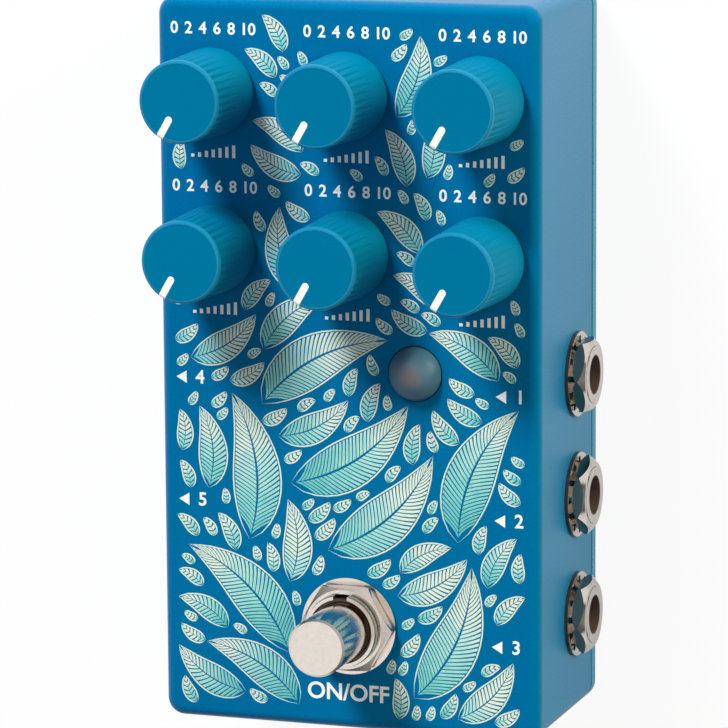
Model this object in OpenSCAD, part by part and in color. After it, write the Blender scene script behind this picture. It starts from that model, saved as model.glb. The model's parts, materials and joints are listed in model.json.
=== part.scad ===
// Stereo delay: a floor effects unit in a die-cast box, as an assembly of separate pieces.
// Millimetres. X runs to the right across the face, Y to the rear end, Z up out of the face.
// The origin is on the floor under the middle of the box.

/* [Enclosure] */
// Width of the box across the face
body_w = 66; // [63:1:76]
// Length of the box from front end to rear end
body_l = 122; // [118:1:140]
// Height of the shell above the base plate
shell_h = 30.5; // [28.5:0.5:40]
// Thickness of the side and end walls
wall_t = 2.2; // [1.6:0.1:3]
// Thickness of the face
face_t = 2.5; // [2:0.1:3.5]
// Radius of the upright corners
corner_r = 3; // [2.6:0.2:6]
// Radius of the rounded edge round the face
edge_r = 1.8; // [0.8:0.1:2.5]
// Radius of the screw posts in the corners
post_r = 3.6; // [3:0.1:4.2]

/* [Base plate] */
// Thickness of the base plate
plate_t = 3.5; // [3:0.25:5]
// Radius of the plate's lower edge
plate_edge_r = 0.8; // [0.4:0.1:1.2]
// Width of the bevel round the plate's upper edge, which shows as a line along the seam
seam_bevel = 0.8; // [0.3:0.1:1.2]
// Height of the lip that centres the plate in the shell
lip_h = 1.4; // [0.8:0.2:2]
// Thickness of that lip
lip_t = 1.4; // [1:0.1:2]
// Gap between the lip and the shell
lip_gap = 0.25; // [0.15:0.05:0.4]

/* [Cover screws] */
// Radius of the screws that hold the base plate
screw_r = 1.5; // [1.25:0.25:1.75]
// Radius of their countersunk heads
screw_head_r = 2.9; // [2.5:0.1:3.2]
// Height of their countersunk heads
screw_head_h = 1.7; // [1.2:0.1:2]
// Length of each screw
screw_len = 12; // [9:1:16]

/* [Feet] */
// Radius of each rubber foot where it meets the plate
foot_r = 5; // [4:0.5:6]
// Height of the rubber feet
foot_h = 2; // [1.5:0.25:4]
// Distance of the feet from the sides and ends of the plate
foot_inset = 14; // [12:1:20]

/* [Control layout] */
// Distance from the sides of the box to the outer knob columns
column_from_side = 9.8; // [9.4:0.2:12.4]
// Distance between neighbouring knob columns
knob_pitch = body_w / 2 - column_from_side;
// Distance from the rear end to the rear row of knobs
row_from_rear = 15.5; // [14.5:0.5:19]
// Distance between the two rows of knobs
row_pitch = 26.2; // [22:0.2:28]
// Distance from the front row of knobs to the indicator
lens_below_row = 19.3; // [16:0.1:21]
// Distance from the middle of the face to the indicator
lens_right = 11.7; // [9:0.1:15]
// Distance from the front end to the foot switch
switch_from_front = 17.8; // [15:0.1:20]

/* [Knobs] */
// Radius of the smooth skirt at the foot of a knob
knob_base_r = 7.3; // [7:0.1:8.5]
// Radius of the flat top of a knob, before its edge is rounded
knob_top_r = 6.85; // [6.2:0.05:7]
// Height of a knob
knob_h = 15.3; // [12:0.1:18]
// Gap between a knob and the face
knob_lift = 0.6; // [0.4:0.1:1.2]
// Number of flutes round a knob
flute_count = 36; // [24:1:40]
// Depth of a flute at the top of the knob
flute_depth = 0.25; // [0.15:0.05:0.35]
// Radius of a flute's section
flute_r = 0.6; // [0.4:0.05:0.6]
// Height above the skirt's foot where the flutes run out
flute_runout = 4.6; // [3:0.2:6]
// Radius of the rounded edge of a knob's top
cap_edge_r = 0.5; // [0.3:0.1:0.7]
// Thickness of a knob's top over the end of its shaft
cap_t = 2; // [1.5:0.1:3]
// Width of the pointer line
pointer_w = 1.2; // [0.8:0.1:1.6]
// Distance from the knob's axis to the inner end of the pointer
pointer_from = 2.8; // [2:0.1:4]
// Depth of the pointer's groove
pointer_t = 0.8; // [0.5:0.1:1.2]

/* [Pots] */
// Width of a pot housing
pot_w = 9.8; // [9.2:0.2:11]
// Depth of a pot housing, front to rear
pot_d = 10; // [9.5:0.5:13]
// Height of a pot housing
pot_h = 6.8; // [6:0.2:8]
// Radius of a pot's threaded bushing
pot_bush_r = 3.5; // [3.4:0.05:3.8]
// Length of bushing that stands proud of the nut
pot_thread_proud = 1; // [0.6:0.2:1.6]
// Radius of a control shaft
shaft_r = 3; // [2.6:0.1:3.1]
// Width across the flats of a pot nut
pot_nut_af = 10; // [9:0.5:10.5]
// Thickness of a pot nut
pot_nut_t = 2; // [1.6:0.2:2.6]
// Radius of a pot washer
pot_washer_r = 5.2; // [4.6:0.1:5.6]
// Thickness of a pot washer
pot_washer_t = 0.5; // [0.4:0.1:0.8]

/* [Indicator] */
// Radius of the domed lens
lens_r = 4.5; // [3.5:0.1:5]
// Height of the dome above its straight rim
lens_dome_h = 3.4; // [2:0.2:3.4]
// Height of the straight rim above the face
lens_rim = 0.3; // [0.2:0.1:0.8]
// Gap between the lens and its hole
lens_gap = 0.2; // [0.1:0.05:0.3]
// Radius of the lamp under the lens
lamp_r = 2.5; // [1.5:0.1:2.6]

/* [Foot switch] */
// Radius of the plunger
plunger_r = 4.85; // [4.5:0.05:4.9]
// Height of the plunger's top above the face
plunger_out = 17; // [13:0.2:19]
// Width of the bevel round the plunger's top
plunger_bevel = 0.35; // [0.2:0.05:0.6]
// How far the plunger goes down
plunger_travel = 2; // [1:0.2:2.6]
// Radius of the threaded bushing
bush_r = 6; // [5.8:0.1:6.4]
// Length of bushing that stands proud of the outer nut
bush_proud = 1.6; // [0.8:0.2:3]
// Width of the keyway along the bushing
keyway_w = 2.4; // [1.6:0.2:2.6]
// Depth of that keyway
keyway_t = 0.7; // [0.4:0.05:0.75]
// Width across the flats of the switch nuts
switch_nut_af = 14; // [13.5:0.5:16]
// Thickness of the outer nut
switch_nut_t = 2.7; // [2:0.1:3.5]
// Radius of the flat washer under the outer nut
dress_washer_r = 8.2; // [7.8:0.1:9]
// Thickness of that washer
dress_washer_t = 0.5; // [0.4:0.1:1]
// Thickness of the lower nut, inside the box
lower_nut_t = 2.4; // [1.8:0.2:2.6]
// Thickness of the switch's lock washer
switch_washer_t = 0.8; // [0.5:0.1:1]
// Length of bushing between the lower nut and the plate at its foot
switch_neck = 0.7; // [0.4:0.1:1]
// Thickness of the plate at the foot of the bushing
switch_plate_t = 1; // [0.8:0.1:1.2]
// Width of the switch case, across the box
switch_case_w = 14; // [13.8:0.1:15]
// Depth of the switch case, along the box
switch_case_d = 17.6; // [15:0.2:20]
// Gap between the switch case and the socket housings beside it
switch_side_gap = 2.3; // [0.5:0.1:4]
// Thickness of the wire of the return spring
spring_wire = 0.7; // [0.5:0.05:0.8]
// Number of turns in the return spring
spring_turns = 4; // [3:1:4]

/* [Sockets] */
// Distance from the front end to the frontmost socket
socket_from_front = 17.4; // [16.5:0.1:20]
// Distance between neighbouring sockets
socket_pitch = 20.5; // [16.5:0.1:22]
// Radius of a socket's threaded bushing
socket_bush_r = 4.75; // [4.5:0.05:5]
// Radius of the plug bore
plug_r = 3.25; // [3.2:0.01:3.4]
// Length of bushing seated in the socket housing
socket_seat = 3; // [2:0.5:4]
// Length of bushing that stands proud of the nut
socket_proud = 0.1; // [0.1:0.1:1]
// Length of a socket housing, from the side wall to the gap beside the switch case
socket_case_l = body_w / 2 - wall_t - switch_case_w / 2 - switch_side_gap;
// Width of a socket housing, along the box
socket_case_w = 14; // [12.5:0.5:15]
// Height of a socket housing
socket_case_h = 11.2; // [11:0.2:13]
// Wall thickness of a socket housing
socket_case_t = 1.2; // [0.8:0.1:1.4]
// Width across the flats of a socket nut
socket_nut_af = 11.6; // [11.2:0.1:13]
// Thickness of a socket nut
socket_nut_t = 2.5; // [2:0.1:3.5]
// Radius of the lock washer under a socket nut
lock_washer_r = 7.2; // [6.7:0.1:7.5]
// Thickness of that lock washer
lock_washer_t = 0.6; // [0.4:0.1:1.2]
// Width of the solid ring outside a lock washer's teeth
lock_washer_band = 0.7; // [0.5:0.1:1]
// Number of inner teeth on a lock washer
lock_washer_teeth = 12; // [8:1:14]

/* [Power inlet] */
// Width of the inlet's moulded body
inlet_w = 9; // [8.6:0.2:10]
// Length of that body, along the box
inlet_l = 13; // [12:0.5:14]
// Height of that body
inlet_h = 11; // [9:0.5:13]
// Radius of the round nose that fills the hole in the wall
inlet_nose_r = 4.2; // [4:0.1:4.3]
// Radius of the barrel that takes the plug
inlet_barrel_r = 3.2; // [2.9:0.1:3.3]
// Depth of that barrel
inlet_barrel_l = 9.5; // [8:0.5:11]
// Radius of the centre pin
inlet_pin_r = 1.05; // [0.85:0.1:1.25]
// Depth of the pin's tip behind the face of the wall
inlet_pin_recess = 2.2; // [1:0.2:4]

/* [Boards] */
// Thickness of the circuit boards
board_t = 1.6; // [1.2:0.2:2]
// Gap between the edge of a board and the walls
board_gap = 1.4; // [0.8:0.2:2]
// Height of the main board above the base plate
board_lift = 1.8; // [1.8:0.2:3.4]
// Width across the flats of the board spacers
spacer_af = 5; // [4.6:0.2:6]
// Radius of the board screws
board_screw_r = 1.4; // [1.2:0.1:1.5]
// Width and depth of the signal chip's body
chip_w = 11; // [8:1:11]
// Radius of the capacitors
capacitor_r = 3; // [2:0.25:3.5]
// Height of the capacitors
capacitor_h = 8; // [5:0.5:11]
// Distance from the rearmost socket housings to the capacitors
capacitor_back = 10.8; // [2:0.2:14]

/* [Hidden] */
$fn = 64;

// Small gaps shared by pieces that sit in one another
slip = 0.05;
hole_gap = 0.15;
run_gap = 0.4;

// Height that the chamfers take off a nut's corners
nut_chamfer = 1.1;
pot_nut_chamfer = 0.4;

// Heights, from the floor up
plate_z = foot_h;
seam_z = plate_z + plate_t;
face_z = seam_z + shell_h;
ceiling_z = face_z - face_t;
main_z = seam_z + board_lift;
main_top = main_z + board_t;
socket_z = main_top + socket_case_h / 2;
inlet_z = main_top + inlet_h / 2;
control_top = ceiling_z - pot_h;
control_z = control_top - board_t;

// The inside of the shell, whose corners are round enough to lie within the posts
inner_w = body_w - 2 * wall_t;
inner_l = body_l - 2 * wall_t;
inner_r_least = 0.45 * post_r;
inner_r = max(corner_r - wall_t, inner_r_least);
post_merge = 0.8;
post_inset = wall_t + post_r - post_merge;
post_x = body_w / 2 - post_inset;
post_y = body_l / 2 - post_inset;

// The controls, rear row first, left to right
control_names = ["time", "feedback", "mix", "rate", "volume", "tone"];
controls = [0 : len(control_names) - 1];
rear_row_y = body_l / 2 - row_from_rear;
front_row_y = rear_row_y - row_pitch;
lens_y = front_row_y - lens_below_row;
switch_y = switch_from_front - body_l / 2;
rest_angle = 240;

// A knob's heights and hollow
knob_z = face_z + knob_lift;
knob_top = knob_z + knob_h;
pot_bush_top = face_z + pot_washer_t + pot_nut_t + pot_thread_proud;
skirt_h = 0.8;
skirt_flare = 0.15;
knob_side_r = knob_base_r - skirt_flare;
knob_hollow_r = hex_corner(pot_nut_af) + run_gap;
knob_hollow_top = pot_bush_top + run_gap;
shaft_top = knob_top - cap_t;
shaft_flat = 0.5;
rotor_step = 0.8;
rotor_r = shaft_r + rotor_step;
rotor_t = 1.6;
pot_floor = 0.8;
rotor_z = control_top + pot_floor + run_gap;

// The foot switch, from the face down
outer_nut_z = face_z + dress_washer_t;
outer_nut_top = outer_nut_z + switch_nut_t;
bush_top = outer_nut_top + bush_proud;
plunger_top = face_z + plunger_out;
lower_nut_z = ceiling_z - switch_washer_t - lower_nut_t;
switch_plate_z = lower_nut_z - switch_neck - switch_plate_t;
plunger_gap = 0.1;
bush_mouth_r = (plunger_r + bush_r) / 2;
bush_mouth_h = 1;
plunger_step = 0.7;
plunger_flange_r = plunger_r + plunger_step;
plunger_flange_t = 1.5;
case_bore_r = plunger_flange_r + run_gap;
case_floor = 1.2;
switch_corner_r = 1;
plunger_z = switch_plate_z - plunger_flange_t - plunger_gap;
spring_z = plunger_z - plunger_travel - (spring_turns + 2) * spring_wire;
spring_r = plunger_r - spring_wire / 2;
case_z = spring_z - case_floor;
terminal_r = 0.7;
terminal_pitch = 5;
terminal_below = 0.9;

// The indicator's flange under the face, and the lamp's collar on its board
lens_flange_t = 1.2;
lens_flange_step = 1.2;
lamp_collar_step = 0.4;
lamp_collar_h = 1;

// The sockets: [side, place counted from the front], right-hand sockets first
socket_names = ["input_left", "input_right", "control", "output_left", "output_right"];
sockets = [[1, 2], [1, 1], [1, 0], [-1, 2], [-1, 1]];
rear_place = max([for (socket = sockets) socket[1]]);
nut_turns = [2, 25, 10, 8, 33];
socket_out = lock_washer_t + socket_nut_t + socket_proud;
socket_in = wall_t + socket_seat;
socket_stop_t = 1;
contact_t = 0.4;
contact_w = 3;
contact_fold = 11;
contact_knee = 7;
contact_tip = 5;

// The boards and what stands on them
control_margin = 3;
control_front = lens_y - lens_r - control_margin;
spacer_x = knob_pitch / 2;
spacer_rows = [rear_row_y - row_pitch / 2, rear_row_y + pot_d / 2 + spacer_af / 2];
spacer_screw_depth = 4;
spacer_tap_spare = 0.5;
board_head_step = 1;
board_head_r = board_screw_r + board_head_step;
board_head_h = 1.2;
header_pitch = 2;
header_w = 4;
header_h = 3;
header_end = 0.5;
header_pin_w = 0.8;
header_space = 2 * (spacer_x - hex_corner(spacer_af) - hole_gap - header_end);
header_pins = floor(header_space / header_pitch);
chip_y = front_row_y - chip_w / 2;
chip_t = 1.6;
chip_corner = 0.5;
chip_leg_l = 1;
capacitor_gap = 3;
capacitor_x = inner_w / 2 - board_gap - capacitor_r - capacitor_gap;
capacitor_pitch = 2 * capacitor_r + capacitor_gap;
capacitor_front = socket_y(rear_place) + socket_case_w / 2 + capacitor_back + capacitor_r;
capacitor_rows = [for (k = [0 : 2]) capacitor_front + k * capacitor_pitch];
foot_x = body_w / 2 - foot_inset;
foot_y = body_l / 2 - foot_inset;
foot_tread_r = 0.84 * foot_r;

// Distance from the middle of a hexagon to its corners, from its width across the flats
function hex_corner(af) = af / sqrt(3);

function control_x(i) = (i % 3 - 1) * knob_pitch;
function control_y(i) = rear_row_y - floor(i / 3) * row_pitch;
function socket_y(place) = socket_from_front - body_l / 2 + place * socket_pitch;

// Rectangle with round corners, middle at the origin
module rounded_outline(w, l, r) {
    square([w - 2 * r, l], center = true);
    square([w, l - 2 * r], center = true);
    for (sx = [-1, 1], sy = [-1, 1])
        translate([sx * (w / 2 - r), sy * (l / 2 - r)])
            circle(r);
}

module rounded_block(w, l, r, h) {
    linear_extrude(h)
        rounded_outline(w, l, r);
}

// Upright section of a block whose upper edges are rounded and whose lower edges are bevelled
module rounded_section(w, h, r, bevel) {
    polygon([
        [bevel - w / 2, 0],
        [w / 2 - bevel, 0],
        [w / 2, bevel],
        [w / 2, h - r],
        [-w / 2, h - r],
        [-w / 2, bevel]
    ]);
    translate([r - w / 2, h - 2 * r])
        square([w - 2 * r, 2 * r]);
    for (s = [-1, 1])
        translate([s * (w / 2 - r), h - r])
            circle(r);
}

// Block with round upright corners, a rounded upper edge and a bevelled lower edge all the way round
module cast_block(w, l, h, corner, edge, bevel) {
    rotate([90, 0, 0])
        linear_extrude(l - 2 * corner, center = true)
            rounded_section(w, h, edge, bevel);
    rotate([90, 0, 90])
        linear_extrude(w - 2 * corner, center = true)
            rounded_section(l, h, edge, bevel);
    for (k = [0 : 3])
        mirror([k % 2, 0, 0])
            mirror([0, floor(k / 2), 0])
                translate([w / 2 - corner, l / 2 - corner, 0])
                    rotate_extrude(angle = 90)
                        intersection() {
                            rounded_section(2 * corner, h, edge, bevel);
                            square([corner, h]);
                        }
}

// Places its children at the four corners of a rectangle
module at_corners(x, y) {
    for (sx = [-1, 1], sy = [-1, 1])
        translate([sx * x, sy * y, 0])
            children();
}

module at_control(i) {
    translate([control_x(i), control_y(i), 0])
        children();
}

// Turns its children so that +Z points out of the side wall, with z = 0 on the wall's outer face
module at_socket(k) {
    side = sockets[k][0];
    translate([side * body_w / 2, socket_y(sockets[k][1]), socket_z])
        rotate([0, side * 90, 0])
            children();
}

module at_spacers() {
    for (sx = [-1, 1], y = spacer_rows)
        translate([sx * spacer_x, y, 0])
            children();
}

module tube(r_out, r_in, h) {
    difference() {
        cylinder(r = r_out, h = h);
        translate([0, 0, -1])
            cylinder(r = r_in, h = h + 2);
    }
}

// Hexagon nut with both faces chamfered down to the flats, by chamfers that stay apart in a thin nut
module hex_nut(af, bore, h, chamfer) {
    cut = min(chamfer, 0.45 * h);
    face_r = af / 2 - cut / 4;
    rim_r = hex_corner(af) + slip;
    difference() {
        intersection() {
            cylinder(r = hex_corner(af), h = h, $fn = 6);
            rotate_extrude()
                polygon([
                    [0, 0],
                    [face_r, 0],
                    [rim_r, cut],
                    [rim_r, h - cut],
                    [face_r, h],
                    [0, h]
                ]);
        }
        translate([0, 0, -1])
            cylinder(r = bore, h = h + 2);
    }
}

// Ring with square-sided gaps between its inner teeth
module toothed_washer(r_out, r_in, h) {
    pitch = 360 / lock_washer_teeth;
    gap_w = 0.4 * 2 * r_in * tan(pitch / 2);
    gap_l = r_out - lock_washer_band - r_in;
    difference() {
        tube(r_out, r_in, h);
        for (k = [0 : lock_washer_teeth - 1])
            rotate(k * pitch)
                translate([r_in - 1, -gap_w / 2, -1])
                    cube([gap_l + 1, gap_w, h + 2]);
    }
}

// Die-cast shell: face and walls in one piece, with screw posts and holes for everything that shows
module enclosure() {
    color("#0b6fa0")
        difference() {
            translate([0, 0, seam_z])
                cast_block(body_w, body_l, shell_h, corner_r, edge_r, 0);
            difference() {
                translate([0, 0, seam_z - 1])
                    rounded_block(inner_w, inner_l, inner_r, shell_h - face_t + 1);
                at_corners(post_x, post_y)
                    translate([0, 0, seam_z])
                        cylinder(r = post_r, h = shell_h);
            }
            at_corners(post_x, post_y)
                translate([0, 0, plate_z])
                    cylinder(r = screw_r + slip, h = screw_len + 1);
            for (i = controls)
                at_control(i)
                    translate([0, 0, ceiling_z - 1])
                        cylinder(r = pot_bush_r + hole_gap, h = face_t + 2);
            translate([lens_right, lens_y, ceiling_z - 1])
                cylinder(r = lens_r + lens_gap, h = face_t + 2);
            translate([0, switch_y, ceiling_z - 1])
                cylinder(r = bush_r + hole_gap, h = face_t + 2);
            for (k = [0 : len(sockets) - 1])
                at_socket(k)
                    translate([0, 0, -wall_t - 1])
                        cylinder(r = socket_bush_r + hole_gap, h = wall_t + 2);
            translate([0, body_l / 2 + 1, inlet_z])
                rotate([90, 0, 0])
                    cylinder(r = inlet_nose_r + hole_gap, h = wall_t + 2);
        }
}

// Plate that closes the back, with a lip that centres it and countersunk holes over the posts
module base_plate() {
    lip_root = 0.5;
    lip_w = inner_w - 2 * lip_gap;
    lip_l = inner_l - 2 * lip_gap;
    lip_r = inner_r - lip_gap;
    color("#0b6fa0")
        difference() {
            union() {
                translate([0, 0, seam_z])
                    mirror([0, 0, 1])
                        cast_block(body_w, body_l, plate_t, corner_r, plate_edge_r, seam_bevel);
                translate([0, 0, seam_z])
                    difference() {
                        translate([0, 0, -lip_root])
                            rounded_block(lip_w, lip_l, lip_r, lip_root + lip_h);
                        rounded_block(lip_w - 2 * lip_t, lip_l - 2 * lip_t, lip_r / 2, lip_h + 1);
                        at_corners(post_x, post_y)
                            cylinder(r = post_r + run_gap, h = lip_h + 1);
                    }
            }
            at_corners(post_x, post_y)
                translate([0, 0, plate_z - 1]) {
                    cylinder(r = screw_r + hole_gap, h = plate_t + 2);
                    cylinder(r = screw_head_r + slip, h = 1 + slip);
                    translate([0, 0, 1 + slip])
                        cylinder(r1 = screw_head_r + slip, r2 = screw_r + slip, h = screw_head_h);
                }
        }
}

// Countersunk screws with a cross recess
module cover_screws() {
    recess_w = screw_r / 2;
    recess_l = 1.1 * screw_head_r;
    recess_t = 0.6 * screw_head_h;
    color("#b9b4ae")
        at_corners(post_x, post_y)
            translate([0, 0, plate_z])
                difference() {
                    union() {
                        cylinder(r1 = screw_head_r, r2 = screw_r, h = screw_head_h);
                        cylinder(r = screw_r, h = screw_len);
                    }
                    for (turn = [0, 90])
                        rotate(turn)
                            translate([-recess_l / 2, -recess_w / 2, -1])
                                cube([recess_l, recess_w, recess_t + 1]);
                }
}

// Round feet, narrower at the floor
module rubber_feet() {
    color("#1d1d1f")
        at_corners(foot_x, foot_y)
            cylinder(r1 = foot_tread_r, r2 = foot_r, h = foot_h);
}

// Outer form of a knob: a flared smooth skirt, straight tapering side and a flat top with a soft edge
module knob_form() {
    rotate_extrude() {
        polygon([
            [0, 0],
            [knob_base_r, 0],
            [knob_base_r, skirt_h],
            [knob_side_r, flute_runout],
            [knob_top_r, knob_h - cap_edge_r],
            [knob_top_r - cap_edge_r, knob_h - cap_edge_r],
            [knob_top_r - cap_edge_r, knob_h],
            [0, knob_h]
        ]);
        translate([knob_top_r - cap_edge_r, knob_h - cap_edge_r])
            circle(cap_edge_r);
    }
}

// One flute: a round cutter that leans outwards as it goes down, so that it runs out above the skirt
module flute() {
    top_x = knob_top_r + flute_r - flute_depth;
    low_x = knob_side_r + flute_r;
    rise = knob_h - flute_runout;
    lean = atan((low_x - top_x) / rise);
    translate([low_x, 0, flute_runout])
        rotate([0, -lean, 0])
            cylinder(r = flute_r, h = 2 * rise, $fn = 24);
}

// The pointer's bar, with a round inner end, at the top of a knob that points along +X
module pointer_bar() {
    translate([pointer_from + pointer_w / 2, 0, knob_h - pointer_t])
        linear_extrude(pointer_t + 1) {
            translate([0, -pointer_w / 2])
                square([knob_base_r, pointer_w]);
            circle(pointer_w / 2);
        }
}

// Section of the control shaft, with its flat facing the pointer
module shaft_section(gap) {
    intersection() {
        circle(shaft_r + gap);
        translate([-2 * shaft_r, -2 * shaft_r])
            square([3 * shaft_r - shaft_flat + gap, 4 * shaft_r]);
    }
}

// Knob, hollow below so that it clears the pot's nut, with a bore that fits the shaft's flat
module knob(i) {
    color("#0f73a4")
        at_control(i)
            translate([0, 0, knob_z])
                rotate(rest_angle)
                    difference() {
                        knob_form();
                        for (k = [0 : flute_count - 1])
                            rotate((k + 0.5) * 360 / flute_count)
                                flute();
                        pointer_bar();
                        translate([0, 0, -1])
                            cylinder(r = knob_hollow_r, h = knob_hollow_top - knob_z + 1);
                        linear_extrude(knob_h - cap_t)
                            shaft_section(slip);
                    }
}

// White line let into the knob's top
module pointer(i) {
    color("#f4f4f2")
        at_control(i)
            translate([0, 0, knob_z])
                rotate(rest_angle)
                    intersection() {
                        pointer_bar();
                        knob_form();
                    }
}

// Control shaft: rotor inside the pot, round where it runs in the bushing, flatted in the knob
module shaft(i) {
    color("#a8a9a6")
        at_control(i)
            rotate(rest_angle)
                translate([0, 0, rotor_z]) {
                    cylinder(r = rotor_r, h = rotor_t);
                    cylinder(r = shaft_r, h = pot_bush_top - rotor_z);
                    linear_extrude(shaft_top - rotor_z)
                        shaft_section(0);
                }
}

// Pot housing with its threaded bushing, bored for the shaft and hollow round the rotor
module pot(i) {
    color("#3c4a44")
        at_control(i)
            difference() {
                union() {
                    translate([-pot_w / 2, -pot_d / 2, control_top])
                        cube([pot_w, pot_d, pot_h]);
                    translate([0, 0, control_top])
                        cylinder(r = pot_bush_r, h = pot_bush_top - control_top);
                }
                translate([0, 0, control_top + pot_floor])
                    cylinder(r = rotor_r + run_gap, h = rotor_t + 2 * run_gap);
                translate([0, 0, control_top + pot_floor])
                    cylinder(r = shaft_r + slip, h = pot_bush_top - control_top);
            }
}

module pot_nuts() {
    color("#b9b4ae")
        for (i = controls)
            at_control(i)
                translate([0, 0, face_z + pot_washer_t])
                    hex_nut(pot_nut_af, pot_bush_r + slip, pot_nut_t, pot_nut_chamfer);
}

module pot_washers() {
    color("#b9b4ae")
        for (i = controls)
            at_control(i)
                translate([0, 0, face_z])
                    tube(pot_washer_r, pot_bush_r + slip, pot_washer_t);
}

// Domed lens, held by a flange under the face and hollow above the lamp
module indicator_lens() {
    flange_r = lens_r + lens_flange_step;
    flange_z = ceiling_z - lens_flange_t;
    rim_z = face_z + lens_rim;
    ball_r = (lens_r * lens_r + lens_dome_h * lens_dome_h) / (2 * lens_dome_h);
    color("#8a8f96")
        translate([lens_right, lens_y, 0])
            difference() {
                union() {
                    translate([0, 0, flange_z])
                        cylinder(r = flange_r, h = lens_flange_t);
                    translate([0, 0, flange_z])
                        cylinder(r = lens_r, h = rim_z - flange_z);
                    intersection() {
                        translate([0, 0, rim_z + lens_dome_h - ball_r])
                            sphere(ball_r);
                        translate([0, 0, rim_z - slip])
                            cylinder(r = flange_r, h = lens_dome_h + 1);
                    }
                }
                translate([0, 0, flange_z - 1])
                    cylinder(r = lamp_r + run_gap, h = face_z - flange_z + 1);
            }
}

module indicator_lamp() {
    lamp_top = face_z - run_gap;
    color("#f2e6e6")
        translate([lens_right, lens_y, 0]) {
            translate([0, 0, control_top])
                cylinder(r = lamp_r, h = lamp_top - lamp_r - control_top);
            translate([0, 0, lamp_top - lamp_r])
                sphere(lamp_r);
            translate([0, 0, control_top])
                cylinder(r = lamp_r + lamp_collar_step, h = lamp_collar_h);
        }
}

// Plunger with a flange at its foot that stops it under the bushing
module switch_plunger() {
    color("#c9c4c0")
        translate([0, switch_y, 0])
            rotate_extrude()
                polygon([
                    [0, plunger_z],
                    [plunger_flange_r, plunger_z],
                    [plunger_flange_r, plunger_z + plunger_flange_t],
                    [plunger_r, plunger_z + plunger_flange_t],
                    [plunger_r, plunger_top - plunger_bevel],
                    [plunger_r - plunger_bevel, plunger_top],
                    [0, plunger_top]
                ]);
}

// Threaded bushing on the plate that covers the switch case, with a keyway and a wider mouth
module switch_bushing() {
    color("#c4bfba")
        translate([0, switch_y, 0])
            difference() {
                translate([0, 0, switch_plate_z]) {
                    rounded_block(switch_case_w, switch_case_d, switch_corner_r, switch_plate_t);
                    cylinder(r = bush_r, h = bush_top - switch_plate_z);
                }
                translate([0, 0, switch_plate_z - 1])
                    cylinder(r = plunger_r + plunger_gap, h = bush_top - switch_plate_z + 2);
                translate([0, 0, bush_top - bush_mouth_h])
                    cylinder(r = bush_mouth_r, h = bush_mouth_h + 1);
                translate([-keyway_w / 2, bush_r - keyway_t, lower_nut_z])
                    cube([keyway_w, keyway_t + 1, bush_top]);
            }
}

module switch_nut() {
    color("#cfcac5")
        translate([0, switch_y, outer_nut_z])
            hex_nut(switch_nut_af, bush_r + slip, switch_nut_t, nut_chamfer);
}

module switch_washer() {
    color("#cfcac5")
        translate([0, switch_y, face_z])
            tube(dress_washer_r, bush_r + slip, dress_washer_t);
}

module switch_lock_washer() {
    color("#b9b4ae")
        translate([0, switch_y, ceiling_z - switch_washer_t])
            toothed_washer(hex_corner(switch_nut_af), bush_r + slip, switch_washer_t);
}

module switch_lower_nut() {
    color("#b9b4ae")
        translate([0, switch_y, lower_nut_z])
            hex_nut(switch_nut_af, bush_r + slip, lower_nut_t, nut_chamfer);
}

// Switch case, bored for the return spring and the plunger's flange
module switch_case() {
    color("#2a2a2c")
        translate([0, switch_y, case_z])
            difference() {
                rounded_block(switch_case_w, switch_case_d, switch_corner_r, switch_plate_z - case_z);
                translate([0, 0, case_floor])
                    cylinder(r = case_bore_r, h = switch_plate_z - case_z);
            }
}

// Points round one ring of the spring's wire, at an angle along its helix
function spring_ring(turn, wire, rise, sides) = [
    for (s = [0 : sides - 1])
        let (a = 360 * s / sides, r = spring_r + wire / 2 * cos(a))
            [r * cos(turn), r * sin(turn), wire / 2 + rise * turn / 360 + wire / 2 * sin(a)]
];

// Return spring: round wire wound between the floor of the case and the plunger
module switch_spring() {
    sides = 6;
    rings = spring_turns * 16;
    length = plunger_z - spring_z - 2 * slip;
    rise = (length - spring_wire) / spring_turns;
    points = [
        for (k = [0 : rings])
            each spring_ring(360 * spring_turns * k / rings, spring_wire, rise, sides)
    ];
    last = rings * sides;
    faces = concat(
        [
            for (k = [0 : rings - 1], s = [0 : sides - 1])
                let (t = (s + 1) % sides, a = k * sides)
                    each [[a + s, a + t, a + sides + s], [a + t, a + sides + t, a + sides + s]]
        ],
        [for (s = [1 : sides - 2]) [0, s + 1, s]],
        [for (s = [1 : sides - 2]) [last, last + s, last + s + 1]]
    );
    color("#8f8f8d")
        translate([0, switch_y, spring_z + slip])
            polyhedron(points, faces);
}

// Pins from the switch case down through the main board
module switch_terminals() {
    color("#c8a45a")
        for (s = [-1, 0, 1])
            translate([0, switch_y + s * terminal_pitch, main_z - terminal_below])
                cylinder(r = terminal_r, h = case_z - main_z + terminal_below);
}

// Moulded housing of a socket: a hollow box behind the wall that takes the end of the bushing,
// with a hole in its back for the tip of the plug
module socket(k) {
    chamber_h = socket_case_h - 2 * socket_case_t;
    chamber_w = socket_case_w - 2 * socket_case_t;
    chamber_l = socket_case_l - socket_seat - socket_stop_t - socket_case_t;
    color("#232325")
        at_socket(k)
            difference() {
                translate([-socket_case_h / 2, -socket_case_w / 2, -wall_t - socket_case_l])
                    cube([socket_case_h, socket_case_w, socket_case_l]);
                translate([-chamber_h / 2, -chamber_w / 2, socket_case_t - wall_t - socket_case_l])
                    cube([chamber_h, chamber_w, chamber_l]);
                translate([0, 0, -socket_in])
                    cylinder(r = socket_bush_r + slip, h = socket_in);
                translate([0, 0, -wall_t - socket_case_l - 1])
                    cylinder(r = plug_r + run_gap, h = socket_case_l - socket_seat + 2);
            }
}

module socket_bushings() {
    color("#cbc6c1")
        for (k = [0 : len(sockets) - 1])
            at_socket(k)
                translate([0, 0, -socket_in])
                    tube(socket_bush_r, plug_r, socket_in + socket_out);
}

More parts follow.
